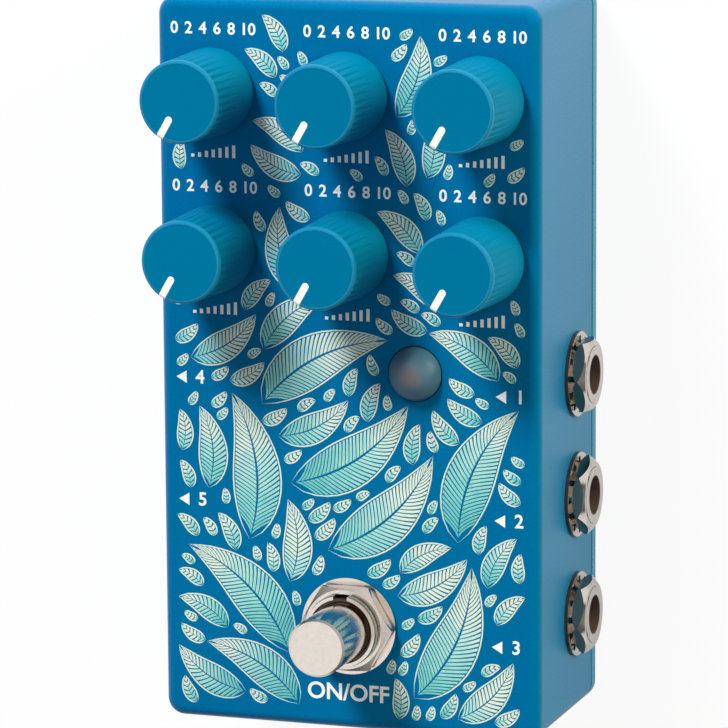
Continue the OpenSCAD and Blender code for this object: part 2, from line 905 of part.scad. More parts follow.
module socket_nuts() {
    color("#d2cdc8")
        for (k = [0 : len(sockets) - 1])
            at_socket(k)
                translate([0, 0, lock_washer_t])
                    rotate(nut_turns[k])
                        hex_nut(socket_nut_af, socket_bush_r + slip, socket_nut_t, nut_chamfer);
}

module socket_washers() {
    color("#c2bdb8")
        for (k = [0 : len(sockets) - 1])
            at_socket(k)
                toothed_washer(lock_washer_r, socket_bush_r + slip, lock_washer_t);
}

// Leaf springs on the floor and the ceiling of each socket housing, folded back towards the plug
module socket_contacts() {
    wall = socket_case_h / 2 - socket_case_t;
    far = socket_case_t - wall_t - socket_case_l;
    bend = plug_r + hole_gap;
    color("#c8a45a")
        for (k = [0 : len(sockets) - 1], s = [-1, 1])
            at_socket(k)
                mirror([s < 0 ? 1 : 0, 0, 0])
                    rotate([90, 0, 0])
                        linear_extrude(contact_w, center = true) {
                            translate([wall - contact_t, far])
                                square([contact_t, contact_fold]);
                            polygon([
                                [wall, far + contact_fold],
                                [wall - contact_t, far + contact_fold],
                                [bend, far + contact_knee],
                                [bend, far + contact_tip],
                                [bend + contact_t, far + contact_tip],
                                [bend + contact_t, far + contact_knee]
                            ]);
                        }
}

// Moulded power inlet, with a round nose that lies flush in the rear wall
module power_inlet() {
    color("#1f1f21")
        translate([0, body_l / 2, inlet_z])
            rotate([90, 0, 0])
                difference() {
                    union() {
                        translate([-inlet_w / 2, -inlet_h / 2, wall_t])
                            cube([inlet_w, inlet_h, inlet_l]);
                        cylinder(r = inlet_nose_r, h = wall_t + 1);
                    }
                    translate([0, 0, -1])
                        cylinder(r = inlet_barrel_r, h = inlet_barrel_l + 1);
                }
}

module power_inlet_pin() {
    round_at = inlet_pin_recess + inlet_pin_r;
    color("#cbc6c1")
        translate([0, body_l / 2, inlet_z])
            rotate([90, 0, 0])
                translate([0, 0, round_at]) {
                    cylinder(r = inlet_pin_r, h = inlet_barrel_l - round_at);
                    sphere(inlet_pin_r);
                }
}

// Outline of the space inside the walls, less the corner posts
module board_outline(front_y, rear_y) {
    difference() {
        translate([board_gap - inner_w / 2, front_y])
            square([inner_w - 2 * board_gap, rear_y - front_y]);
        for (sx = [-1, 1], sy = [-1, 1])
            translate([sx * post_x, sy * post_y])
                circle(post_r + board_gap);
    }
}

module control_board() {
    color("#1f5a3c")
        difference() {
            translate([0, 0, control_z])
                linear_extrude(board_t)
                    board_outline(control_front, inner_l / 2 - board_gap);
            at_spacers()
                translate([0, 0, control_z - 1])
                    cylinder(r = board_screw_r + hole_gap, h = board_t + 2);
        }
}

module main_board() {
    color("#1f5a3c")
        difference() {
            translate([0, 0, main_z])
                linear_extrude(board_t)
                    board_outline(board_gap - inner_l / 2, inner_l / 2 - board_gap);
            at_spacers()
                translate([0, 0, main_z - 1])
                    cylinder(r = board_screw_r + hole_gap, h = board_t + 2);
            for (s = [-1, 0, 1])
                translate([0, switch_y + s * terminal_pitch, main_z - 1])
                    cylinder(r = terminal_r + hole_gap, h = board_t + 2);
        }
}

// Hexagon spacers between the boards, tapped at both ends
module board_spacers() {
    spacer_h = control_z - main_top;
    tapped = spacer_screw_depth + spacer_tap_spare;
    color("#c9a75c")
        at_spacers()
            translate([0, 0, main_top])
                difference() {
                    cylinder(r = hex_corner(spacer_af), h = spacer_h, $fn = 6);
                    for (z = [-1, spacer_h - tapped])
                        translate([0, 0, z])
                            cylinder(r = board_screw_r + slip, h = tapped + 1);
                }
}

// Pan-head screw with a hexagon recess, head below its board and thread upwards
module board_screw() {
    recess_r = 0.7 * board_screw_r;
    recess_t = 0.6 * board_head_h;
    difference() {
        union() {
            translate([0, 0, -board_head_h])
                cylinder(r = board_head_r, h = board_head_h);
            cylinder(r = board_screw_r, h = board_t + spacer_screw_depth);
        }
        translate([0, 0, -board_head_h - 1])
            cylinder(r = recess_r, h = recess_t + 1, $fn = 6);
    }
}

module board_screws() {
    color("#b9b4ae")
        at_spacers() {
            translate([0, 0, main_z])
                board_screw();
            translate([0, 0, control_top])
                mirror([0, 0, 1])
                    board_screw();
        }
}

// Plug-together header between the boards: a strip on each board and a row of pins
module board_header() {
    strip_l = header_pins * header_pitch + 2 * header_end;
    pin_from = -(header_pins - 1) / 2 * header_pitch;
    color("#262628")
        translate([0, spacer_rows[0], 0]) {
            for (z = [main_top, control_z - header_h])
                translate([-strip_l / 2, -header_w / 2, z])
                    cube([strip_l, header_w, header_h]);
            for (k = [0 : header_pins - 1])
                translate([pin_from + k * header_pitch - header_pin_w / 2, -header_pin_w / 2, main_top])
                    cube([header_pin_w, header_pin_w, control_z - main_top]);
        }
}

// Flat square chip with a row of legs along each side
module signal_chip() {
    legs = 10;
    leg_pitch = (chip_w - 2 * chip_corner) / legs;
    leg_w = leg_pitch / 2;
    leg_t = 0.4 * chip_t;
    color("#2b2b2d")
        translate([0, chip_y, main_top]) {
            translate([-chip_w / 2, -chip_w / 2, 0])
                cube([chip_w, chip_w, chip_t]);
            for (turn = [0, 90], k = [0 : legs - 1])
                rotate(turn)
                    translate([-chip_w / 2 - chip_leg_l, (k - (legs - 1) / 2) * leg_pitch - leg_w / 2, 0])
                        cube([chip_w + 2 * chip_leg_l, leg_w, leg_t]);
        }
}

module capacitors() {
    color("#7d8a94")
        for (sx = [-1, 1], y = capacitor_rows)
            translate([sx * capacitor_x, y, main_top])
                cylinder(r = capacitor_r, h = capacitor_h);
}

enclosure();
base_plate();
cover_screws();
rubber_feet();
for (i = controls) knob(i);
for (i = controls) pointer(i);
for (i = controls) shaft(i);
for (i = controls) pot(i);
pot_nuts();
pot_washers();
indicator_lens();
indicator_lamp();
switch_plunger();
switch_bushing();
switch_nut();
switch_washer();
switch_lock_washer();
switch_lower_nut();
switch_case();
switch_spring();
switch_terminals();
for (k = [0 : len(sockets) - 1]) socket(k);
socket_bushings();
socket_nuts();
socket_washers();
socket_contacts();
power_inlet();
power_inlet_pin();
control_board();
main_board();
board_spacers();
board_screws();
board_header();
signal_chip();
capacitors();
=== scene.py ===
# %% [markdown]
# A stereo delay on a white table
#
# The object is a small effects unit for a guitar: a cast aluminium box with a blue powder coat, six
# fluted knobs, a foot switch and five plug sockets. Its solids come from a CAD model, so this lesson
# adds what that model leaves out: finishes, the rims of the knobs, printing, a screw thread, a spring,
# light and a camera. The first step loads the solids.

# %% Load the solids
import json

import bpy
import numpy as np
from mathutils import Matrix, Vector


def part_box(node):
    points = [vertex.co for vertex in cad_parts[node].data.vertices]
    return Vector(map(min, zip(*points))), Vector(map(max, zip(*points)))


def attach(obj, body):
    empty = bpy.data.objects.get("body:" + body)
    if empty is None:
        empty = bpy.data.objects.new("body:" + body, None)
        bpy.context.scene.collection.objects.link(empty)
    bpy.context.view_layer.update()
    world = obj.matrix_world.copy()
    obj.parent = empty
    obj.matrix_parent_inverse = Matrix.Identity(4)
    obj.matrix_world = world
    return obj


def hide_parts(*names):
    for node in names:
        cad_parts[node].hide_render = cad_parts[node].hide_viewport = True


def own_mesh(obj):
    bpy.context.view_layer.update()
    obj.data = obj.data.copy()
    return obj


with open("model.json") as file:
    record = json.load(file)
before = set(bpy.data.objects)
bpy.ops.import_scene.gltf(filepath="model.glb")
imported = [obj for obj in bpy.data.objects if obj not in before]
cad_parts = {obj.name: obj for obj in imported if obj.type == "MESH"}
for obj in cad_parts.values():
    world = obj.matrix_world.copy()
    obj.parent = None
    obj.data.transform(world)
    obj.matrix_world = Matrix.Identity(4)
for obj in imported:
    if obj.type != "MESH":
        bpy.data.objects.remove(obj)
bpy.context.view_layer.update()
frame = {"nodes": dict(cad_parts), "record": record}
solids = frame["nodes"]
scene = bpy.context.scene
scene.view_settings.view_transform = "Standard"
MM = 0.001

# %% [markdown]
# The camera
#
# The photograph was taken from far away with a long lens, above the face and a little to the right, so
# the right wall shows as a narrow strip. Three turns and a place were fitted to the outline of the box.
# The camera could be aimed with a constraint, but a matrix keeps the small roll exactly.

# %% Set the camera
# Turns in radians, places and clipping in metres
CAMERA_TURNS = (-0.1783, 0.3273, -0.0063)
CAMERA_PLACE = (0.25058, 0.14005, 0.76569)
LENS_MM, SENSOR_MM = 235.26, 36.0
NEAREST, FARTHEST = 0.05, 30.0

optics = bpy.data.cameras.new("camera")
optics.lens, optics.sensor_width = LENS_MM, SENSOR_MM
optics.clip_start, optics.clip_end = NEAREST, FARTHEST
camera = bpy.data.objects.new("camera", optics)
scene.collection.objects.link(camera)
tilt, pan, roll = (Matrix.Rotation(turn, 4, axis) for turn, axis in zip(CAMERA_TURNS, "XYZ"))
camera.matrix_world = Matrix.Translation(CAMERA_PLACE) @ pan @ tilt @ roll
scene.camera = camera
print("camera", round(Vector(CAMERA_PLACE).length, 3), "m from the origin")

# %% [markdown]
# Nodes and colours
#
# Every finish below is a small graph of shader nodes. One helper adds a node: a setting that is a socket
# is linked, a setting named like an input becomes its value, and anything else is a property of the
# node. Where only one output of the node is needed, the helper hands that back. Colours are written as
# sRGB hex values, as a paint chart would, and one function turns them to the linear values that the
# renderer works in.


# %% Helpers for finishes
def add_node(tree, kind, settings, output=None):
    """Adds a node with its settings, links and ramp stops. Gives the node, or one of its outputs."""
    node = tree.nodes.new(kind)
    for name, value in settings.items():
        if name == "stops":
            stops = node.color_ramp.elements
            for place, colour in value[2:]:
                stops.new(place)
            for stop, (place, colour) in zip(stops, value):
                stop.position, stop.color = place, colour
        elif not isinstance(name, int) and name not in node.inputs:
            setattr(node, name, value)
        elif isinstance(value, bpy.types.NodeSocket):
            tree.links.new(value, node.inputs[name])
        else:
            node.inputs[name].default_value = value
    return node if output is None else node.outputs[output]


def linear(code):
    """Linear colour of an sRGB hex code. A channel c becomes c / 12.92 up to 0.04045, and above that
    ((c + 0.055) / 1.055) ** 2.4."""
    srgb = np.array([int(code[k:k + 2], 16) for k in (1, 3, 5)]) / 255
    rgb = np.where(srgb <= 0.04045, srgb / 12.92, ((srgb + 0.055) / 1.055) ** 2.4)
    return (*rgb.tolist(), 1.0)


def new_finish(name):
    """A material with its shader and, as yet unused, the coordinates for its patterns."""
    material = bpy.data.materials.new(name)
    material.use_nodes = True
    add_node(material.node_tree, "ShaderNodeTexCoord", {})
    return material


def open_finish(material):
    """A finish's node tree, its shader, and the coordinates that its patterns read, in metres."""
    tree = material.node_tree
    return tree, tree.nodes["Principled BSDF"], tree.nodes["Texture Coordinate"].outputs


print("white is", linear("#ffffff"))

# %% [markdown]
# A finish with grain
#
# Cast, moulded, plated and coated surfaces have one thing in common: a fine grain that changes their
# colour, gloss and relief a little from place to place. So one function makes them all from a few
# numbers: two close colours, the size of the grain in millimetres, the roughness in the low and the high
# spots, and the height of the relief in millimetres. Metals keep the default index of refraction. A
# plastic or a coat may tint its mirror, which then is coloured where it is seen from above and still
# white at a glancing angle.

# %% Make a grained finish
# Values of the noise at which a spot counts as low or high
LOW_SPOT, HIGH_SPOT = 0.3, 0.7


def grained_finish(name, colours, grain, rough, relief, metallic=0.0, ior=1.5, mirror="#ffffff"):
    """Principled finish whose colour, roughness and relief follow one noise of the grain's size."""
    material = new_finish(name)
    tree, shader, coordinates = open_finish(material)
    noise = add_node(tree, "ShaderNodeTexNoise", {
        "Vector": coordinates["Object"], "Scale": 1 / (grain * MM), "Detail": 3.0, "Roughness": 0.6}, "Fac")
    tint = add_node(tree, "ShaderNodeValToRGB", {
        "Fac": noise, "stops": [(LOW_SPOT, linear(colours[0])), (HIGH_SPOT, linear(colours[1]))]}, "Color")
    gloss = add_node(tree, "ShaderNodeMapRange", {
        "Value": noise, "From Min": LOW_SPOT, "From Max": HIGH_SPOT,
        "To Min": rough[0], "To Max": rough[1]}, "Result")
    bump = add_node(tree, "ShaderNodeBump", {
        "Height": noise, "Distance": relief * MM, "Strength": 1.0}, "Normal")
    for socket, value in (("Base Color", tint), ("Roughness", gloss), ("Normal", bump)):
        tree.links.new(value, shader.inputs[socket])
    shader.inputs["Metallic"].default_value = metallic
    if not metallic:
        shader.inputs["IOR"].default_value = ior
        shader.inputs["Specular Tint"].default_value = linear(mirror)
    return material


def dress(material, *names):
    """Gives the solids of these names that material."""
    for name in names:
        solids[name].material_slots[0].material = material
    print(material.name, "on", len(names), "solids")


# %% [markdown]
# The coat
#
# Powder coat is sprayed on as dry paint and melted in an oven. It flows into an even satin skin with a
# faint grain. The real grain is about 0.2 mm and would vanish in the picture, so it is drawn at 0.5 mm.
# The pigment is a deep blue with almost no red. A clear film over a pigment mirrors white, which would
# make the face milky under a bright ceiling, so its mirror is tinted blue. The side wall, seen at a
# glancing angle, still mirrors white. The base plate has a glossier coat, and it is painted paler than the
# box: a painted sheen, so that its edge shows as a light line along the foot of the wall.

# %% Coat the box
powder_coat = grained_finish(
    "powder_coat", ("#006798", "#006c9f"), grain=0.5, rough=(0.30, 0.40), relief=0.012, mirror="#0068a8")
# The paler blue of the plate is a painted sheen along the foot of the wall
plate_coat_painted_sheen = grained_finish(
    "plate_coat_painted_sheen", ("#14749f", "#1a79a6"), grain=0.4, rough=(0.26, 0.32), relief=0.003, ior=1.8,
    mirror="#0068a8")
dress(powder_coat, "enclosure")
dress(plate_coat_painted_sheen, "base_plate")

# %% [markdown]
# Knobs and pointers
#
# The knobs are moulded in the same blue, with a softer satin than the coat, because the mould is lightly
# blasted. The white line is a second plastic, let into the top.

# %% Finish the knobs
CONTROLS = ("time", "feedback", "mix", "rate", "volume", "tone")
satin_moulding = grained_finish(
    "satin_moulding", ("#006f98", "#00749e"), grain=0.3, rough=(0.45, 0.55), relief=0.003, ior=1.12,
    mirror="#0070a0")
white_moulding = grained_finish(
    "white_moulding", ("#ececea", "#f8f8f6"), grain=0.35, rough=(0.35, 0.5), relief=0.004)
dress(satin_moulding, *(f"{name}_knob" for name in CONTROLS))
dress(white_moulding, *(f"{name}_pointer" for name in CONTROLS))

# %% [markdown]
# Bright metal
#
# The nuts, washers and bushings are plated with bright nickel, a warm white metal. It has soft streaks
# from handling, so its roughness wanders. Several pieces get painted shade of their own, so a function
# makes the plate afresh for each of them. The pieces without painted shade take it as it is.


# %% Plate the pieces without painted shade
def nickel(name):
    """Bright nickel plate under a name of its own, so that painted shade can be added to it."""
    return grained_finish(
        name, ("#cfc6bd", "#ddd5cd"), grain=1.2, rough=(0.10, 0.20), relief=0.002, metallic=1.0)


dress(nickel("bright_nickel"), "switch_nut", "switch_washer", "power_inlet_pin")

# %% [markdown]
# The plunger
#
# The plunger is polished round its side and lapped satin on its flat top. Height decides which of the
# two shows, because the top is the highest place: close to it, some roughness is added to the polish.

# %% Polish and lap the plunger
# Millimetres below the top, and the roughness that lapping adds
LAP_START, LAP_END = 0.1, 0.02
LAP_ROUGH = 0.20
plunger_nickel = grained_finish(
    "plunger_nickel", ("#d6cdc4", "#e0d8d0"), grain=0.8, rough=(0.13, 0.17), relief=0.0003, metallic=1.0)
tree, shader, coordinates = open_finish(plunger_nickel)
plunger_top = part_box("switch_plunger")[1].z
height = add_node(tree, "ShaderNodeSeparateXYZ", {"Vector": coordinates["Object"]}, "Z")
lapped = add_node(tree, "ShaderNodeMapRange", {
    "Value": height, "To Min": 0.0, "To Max": LAP_ROUGH,
    "From Min": plunger_top - LAP_START * MM, "From Max": plunger_top - LAP_END * MM}, "Result")
polish = shader.inputs["Roughness"].links[0].from_socket
both = add_node(tree, "ShaderNodeMath", {"operation": "ADD", 0: polish, 1: lapped}, "Value")
tree.links.new(both, shader.inputs["Roughness"])
dress(plunger_nickel, "switch_plunger")

# %% [markdown]
# Bores and threads
#
# Inside a bore and in the roots of a thread the nickel is painted a dull dark brown: painted shade, where
# these hollows lie in shade. Where the darkened metal shows is told by the distance from the bushing's
# axis, so a function adds it to the nickel from two radii. It needs the surface seen along its axis: the
# part of the place that lies across the axis, and the axis as a point in that plane.

# %% Painted shade by the distance from an axis
# How metallic the nickel stays under the painted shade
SHADE_METALLIC = 0.35


def distance_from(material, axis, across):
    """Distance of a place from an axis, in metres. The function across picks the coordinates that count."""
    tree, _, coordinates = open_finish(material)
    parts = add_node(tree, "ShaderNodeSeparateXYZ", {"Vector": coordinates["Object"]}).outputs
    flat = add_node(tree, "ShaderNodeCombineXYZ", across(tree, parts), "Vector")
    return add_node(tree, "ShaderNodeVectorMath", {"operation": "DISTANCE", 0: flat, 1: axis}, "Value")


def lay_over(material, share, code):
    """Lays a second colour over a finish: tint * (1 - share) + colour * share, channel by channel."""
    tree, shader, _ = open_finish(material)
    tint = shader.inputs["Base Color"].links[0].from_socket
    covered = add_node(tree, "ShaderNodeMix", {"data_type": "RGBA", 0: share, 6: tint, 7: linear(code)}, 2)
    tree.links.new(covered, shader.inputs["Base Color"])


def nickel_with_painted_shade(name, axis, across, dull, bright, brown="#4f3d31"):
    """Nickel with painted shade: dull brown metal up to the radius dull, and plated from the radius bright,
    in mm.
    """
    material = nickel(name)
    tree, shader, _ = open_finish(material)
    radius = distance_from(material, axis, across)
    # Painted shade: brown and less metallic towards the radius dull
    painted_shade_share = add_node(tree, "ShaderNodeMapRange", {
        "Value": radius, "From Min": bright * MM, "From Max": dull * MM}, "Result")
    lay_over(material, painted_shade_share, brown)
    metal = add_node(tree, "ShaderNodeMapRange", {
        "Value": painted_shade_share, "To Min": 1.0, "To Max": SHADE_METALLIC}, "Result")
    tree.links.new(metal, shader.inputs["Metallic"])
    return material


# %% [markdown]
# The socket bushings
#
# All five socket axes have one height and lie at three places along the box, one spacing apart. A
# wrapped Y puts every socket on the same axis, so one finish serves them all.

# %% Plate the socket bushings
plugs = [mount["pos_m"] for mount in frame["record"]["mounts"] if mount["kind"] == "bore"]
front_y, rear_y = min(place[1] for place in plugs), max(place[1] for place in plugs)
spacing = (rear_y - front_y) / 2
socket_axis = (0.0, front_y, plugs[0][2])


def across_sockets(tree, parts):
    """Y wrapped to the front socket, and Z."""
    near = add_node(tree, "ShaderNodeMath", {
        "operation": "WRAP", 0: parts["Y"], 1: front_y + spacing / 2, 2: front_y - spacing / 2}, "Value")
    return {"Y": near, "Z": parts["Z"]}


# Painted shade inside the bore: dull brown up to 3.3 mm from the axis
socket_nickel_painted_bore_shade = nickel_with_painted_shade(
    "socket_nickel_painted_bore_shade", socket_axis, across_sockets, dull=3.3, bright=3.45, brown="#76635d")
dress(socket_nickel_painted_bore_shade, "socket_bushings")

# %% [markdown]
# The lock washers
#
# The rim of each lock washer is painted dark: painted shade, a dark band where the washer meets the
# wall. The same function makes it: here the dull radius is the larger one.

# %% Plate the lock washers
# Millimetres inwards from the rim
RIM_SHADE_FULL, RIM_SHADE_START = 0.02, 0.12
washer_low, washer_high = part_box("socket_washers")
washer_radius = (washer_high.z - washer_low.z) / 2 / MM
# Painted shade: the rim of each washer is darkened
washer_nickel_painted_rim_shade = nickel_with_painted_shade(
    "washer_nickel_painted_rim_shade", socket_axis, across_sockets,
    dull=washer_radius - RIM_SHADE_FULL, bright=washer_radius - RIM_SHADE_START)
dress(washer_nickel_painted_rim_shade, "socket_washers")

# %% [markdown]
# The socket nuts
#
# The nuts are turned from drawn hexagonal bar. Their ends are bright, and their six flats are painted
# darker: painted shade, a darker reflection on the flats. A flat is told by its direction: it faces away
# from the axis, which runs across the box, so the part of its normal along X is zero.

# %% Plate the socket nuts
# The part of the normal along the axis, on a flat and on a turned end
FLAT_TILT, TURNED_TILT = 0.05, 0.2
nut_nickel_painted_flat_shade = nickel("nut_nickel_painted_flat_shade")
tree, _, coordinates = open_finish(nut_nickel_painted_flat_shade)
tilt = add_node(tree, "ShaderNodeSeparateXYZ", {"Vector": coordinates["Normal"]}, "X")
tilt = add_node(tree, "ShaderNodeMath", {"operation": "ABSOLUTE", 0: tilt}, "Value")
# Painted shade: the flats are darkened towards a grey-green
flat_painted_shade = add_node(tree, "ShaderNodeMapRange", {
    "Value": tilt, "From Min": TURNED_TILT, "From Max": FLAT_TILT}, "Result")
lay_over(nut_nickel_painted_flat_shade, flat_painted_shade, "#7f7e75")
dress(nut_nickel_painted_flat_shade, "socket_nuts")

# %% [markdown]
# The bushing of the foot switch
#
# The mouth of this bushing is bored out wider than the plunger, and the step in it is painted dark:
# painted shade. Its axis is upright, so the place in plan counts, and the middle of the nut gives the
# axis. The thread that is cut further down gets the same painted shade in its roots, with its own radii.


# %% Plate the switch bushing
def middle_of(name):
    """Middle of a solid in plan, in millimetres: half the sum of its lowest and its highest corner."""
    low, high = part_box(name)
    return np.array([(low.x + high.x) / 2, (low.y + high.y) / 2]) / MM


def across_upright(tree, parts):
    """X and Y, which lie across an upright axis."""
    return {"X": parts["X"], "Y": parts["Y"]}


switch_place = middle_of("switch_nut")
switch_axis = (*(switch_place * MM), 0.0)
# Painted shade in the step of the bushing's mouth and in the roots of the thread
bushing_nickel_painted_shade = nickel_with_painted_shade("bushing_nickel_painted_shade", switch_axis, across_upright, dull=5.42, bright=5.5)
thread_nickel_painted_root_shade = nickel_with_painted_shade("thread_nickel_painted_root_shade", switch_axis, across_upright, dull=6.02, bright=6.1)
dress(bushing_nickel_painted_shade, "switch_bushing")

# %% [markdown]
# The indicator
#
# A smoky acrylic dome sits over a lamp with a milky, faintly pink body. Smoked acrylic lets part of the
# light through and blurs it, and transmission with some roughness gives that. The dome's colour is a
# warm grey in the middle and deeper and bluer towards its edge: the warm middle is a painted glow, where
# the lamp would show through as a soft warm spot. Little light finds its way in and out again, so the
# lamp is given a faint glow of its own, which is painted light too.

# %% Cast the dome and the lamp
CLEAR_SHARE, PAINTED_LAMP_GLOW = 0.35, 0.8
# Millimetres from the middle of the dome
GLOW_FADE_FROM, GLOW_FADE_TO = 0.3, 3.0
smoked_acrylic = grained_finish(
    "smoked_acrylic", ("#746c70", "#7a7276"), grain=2.0, rough=(0.42, 0.46), relief=0.0002, ior=1.49)
tree, shader, _ = open_finish(smoked_acrylic)
shader.inputs["Transmission Weight"].default_value = CLEAR_SHARE
lens_place = middle_of("indicator_lens")
outwards = distance_from(smoked_acrylic, (*(lens_place * MM), 0.0), across_upright)
# Painted glow: warm grey in the middle of the dome, fading to the bluer colour towards its edge
painted_glow_fade = add_node(tree, "ShaderNodeMapRange", {
    "interpolation_type": "SMOOTHSTEP", "Value": outwards,
    "From Min": GLOW_FADE_FROM * MM, "From Max": GLOW_FADE_TO * MM}, "Result")
lay_over(smoked_acrylic, painted_glow_fade, "#4a7893")

milky_epoxy = grained_finish(
    "milky_epoxy", ("#e6c8c2", "#f0d6d0"), grain=1.0, rough=(0.25, 0.35), relief=0.002)
_, shader, _ = open_finish(milky_epoxy)
# Painted light: the lamp is given a faint glow of its own
shader.inputs["Emission Color"].default_value = linear("#ffc4b4")
shader.inputs["Emission Strength"].default_value = PAINTED_LAMP_GLOW
dress(smoked_acrylic, "indicator_lens")
dress(milky_epoxy, "indicator_lamp")

# %% [markdown]
# The metals inside and below
#
# These pieces show only through the sockets, from below, or when the unit is taken apart, but each one
# still gets the finish that it has on the bench. Screws, nuts and the spring are zinc plated steel. The
# shafts of the controls are turned aluminium. Contacts, terminals and spacers are brass.

# %% Finish the inner metals
# Zinc on steel is a plain grey with a soft, patchy shine
zinc_steel = grained_finish(
    "zinc_steel", ("#a39f9a", "#bdb9b3"), grain=0.9, rough=(0.24, 0.38), relief=0.003, metallic=1.0)
# Turned aluminium is a cooler grey with a finer grain, and shines a little less
turned_aluminium = grained_finish(
    "turned_aluminium", ("#a4a5a3", "#b7b8b6"), grain=0.5, rough=(0.28, 0.42), relief=0.003, metallic=1.0)
# Brass from the press is yellow, with gleams that break up
pressed_brass = grained_finish(
    "pressed_brass", ("#b8934c", "#cfae66"), grain=0.9, rough=(0.22, 0.36), relief=0.003, metallic=1.0)
dress(zinc_steel, "cover_screws", "pot_nuts", "pot_washers", "switch_lock_washer", "switch_lower_nut",
      "switch_spring", "board_screws")
dress(turned_aluminium, *(f"{name}_shaft" for name in CONTROLS))
dress(pressed_brass, "switch_terminals", "socket_contacts", "board_spacers")

# %% [markdown]
# The plastics inside and below
#
# Housings are moulded nylon, or a green moulding on the controls. The feet are rubber, the boards have a
# green mask, and a thin sleeve is shrunk on each capacitor.

# %% Finish the inner plastics
SOCKETS = ("input_left", "input_right", "control", "output_left", "output_right")
# Moulded nylon is black with a fine, dull texture
moulded_nylon = grained_finish(
    "moulded_nylon", ("#131315", "#1d1d20"), grain=0.35, rough=(0.42, 0.6), relief=0.006)
# The housings of the controls are dark green and satin
pot_housing = grained_finish(
    "pot_housing", ("#25332d", "#2e3e37"), grain=0.5, rough=(0.4, 0.55), relief=0.005)
# Rubber is black and almost without shine
foot_rubber = grained_finish(
    "foot_rubber", ("#0e0e0f", "#19191a"), grain=0.5, rough=(0.7, 0.85), relief=0.012)
# Solder mask is a green lacquer, glossy and uneven over the copper
solder_mask = grained_finish(
    "solder_mask", ("#0f4a2d", "#1a6640"), grain=1.4, rough=(0.28, 0.42), relief=0.01)
# The sleeve is a grey-blue film with a soft gloss
printed_sleeve = grained_finish(
    "printed_sleeve", ("#5f6d79", "#76848f"), grain=1.0, rough=(0.3, 0.42), relief=0.004)
dress(moulded_nylon, "switch_case", "power_inlet", "board_header", "signal_chip",
      *(f"{name}_socket" for name in SOCKETS))
dress(pot_housing, *(f"{name}_pot" for name in CONTROLS))
dress(foot_rubber, "rubber_feet")
dress(solder_mask, "control_board", "main_board")
dress(printed_sleeve, "capacitors")

# %% [markdown]
# A surface from a grid
#
# New pieces are surfaces of two parameters. Numpy works out all points at once as an array of rows and
# columns, and a helper joins neighbouring points to four-sided faces. For a closed tube, each row is
# joined round as well, and both ends are filled. The rims, the thread and the spring are tubes that go
# round an upright axis, so one more helper makes such a piece from three arrays: angle, radius and
# height.


# %% Helpers for meshes
def quads(corner):
    """Faces between neighbouring rows and columns of an array of corner numbers, or of a stack of them."""
    around = [corner[..., :-1, :-1], corner[..., 1:, :-1], corner[..., 1:, 1:], corner[..., :-1, 1:]]
    return np.stack([side.ravel() for side in around], -1)


def tube_faces(rows, columns):
    """Faces of a closed tube: each row is joined round and to the next row, and both ends are filled."""
    corner = np.arange(rows * columns).reshape(rows, columns)
    corner = np.concatenate([corner, corner[:, :1]], 1)
    return [*quads(corner).tolist(), corner[0, :-1].tolist(), corner[-1, -2::-1].tolist()]


def new_piece(name, points, faces, material, body):
    """A mesh object at the origin, from points in millimetres, riding on that body."""
    mesh = bpy.data.meshes.new(name)
    mesh.from_pydata((np.asarray(points) * MM).tolist(), [], [list(face) for face in faces])
    mesh.materials.append(material)
    piece = bpy.data.objects.new(name, mesh)
    scene.collection.objects.link(piece)
    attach(piece, body)
    print(name, len(mesh.vertices), "points,", len(mesh.polygons), "faces")
    return piece


def tube_piece(name, middle, angle, radius, height, material, body):
    """A closed tube round an upright axis: a point lies at middle + radius * (cos angle, sin angle).
    A row has one angle, and its radii and heights are the outline that is carried round."""
    x, y = middle[0] + radius * np.cos(angle), middle[1] + radius * np.sin(angle)
    points = np.stack(np.broadcast_arrays(x, y, height), -1)
    return new_piece(name, points.reshape(-1, 3), tube_faces(*points.shape[:2]), material, body)


print("a tube of 3 rows with 4 points each has", len(tube_faces(3, 4)), "faces")

# %% [markdown]
# The rims of the knobs
#
# A moulded knob has a smooth, rounded rim round its top, above the flutes. The rim is a little lighter
# blue than the cap: a painted highlight. It is a profile carried round the knob's axis: a little over a
# quarter circle that follows the edge of the cap and closes again inside the knob. It leaves a gap for
# the white line, so the sweep starts and ends beside the pointer, whose two edges are read from its solid.

# %% Round the rims
# Sizes in millimetres: the rim lies on the rounded edge of the cap, a little proud of it
RIM_RADIUS, EDGE_RADIUS, PROUD = 6.85, 0.5, 0.015
# Degrees round the edge, from the flat of the cap to the side
BEAD_FROM, BEAD_TO, BEAD_STEPS = 95, -12, 12
# The two corners inside the knob, with heights from its top
INNER_RADII, INNER_HEIGHTS = (6.45, 6.25), (-0.7, -0.12)
# Radians between the rim and the white line
LINE_GAP, RIM_STEPS = 0.004, 145

# Lighter blue than the cap: a painted highlight along the rim
rim_painted_highlight = grained_finish(
    "rim_painted_highlight", ("#0a78a2", "#0f7ea8"), grain=0.3, rough=(0.3, 0.4), relief=0.002, ior=1.35)
bead = np.radians(np.linspace(BEAD_FROM, BEAD_TO, BEAD_STEPS))
bead_radii = RIM_RADIUS - EDGE_RADIUS + (EDGE_RADIUS + PROUD) * np.cos(bead)
bead_heights = (EDGE_RADIUS + PROUD) * np.sin(bead) - EDGE_RADIUS
rim_radii, rim_heights = np.append(bead_radii, INNER_RADII), np.append(bead_heights, INNER_HEIGHTS)
knob_places = np.array([middle_of(f"{name}_knob") for name in CONTROLS])


def points_of(mesh):
    """The points of a mesh as rows of X, Y and Z."""
    points = np.zeros(len(mesh.vertices) * 3)
    mesh.vertices.foreach_get("co", points)
    return points.reshape(-1, 3)


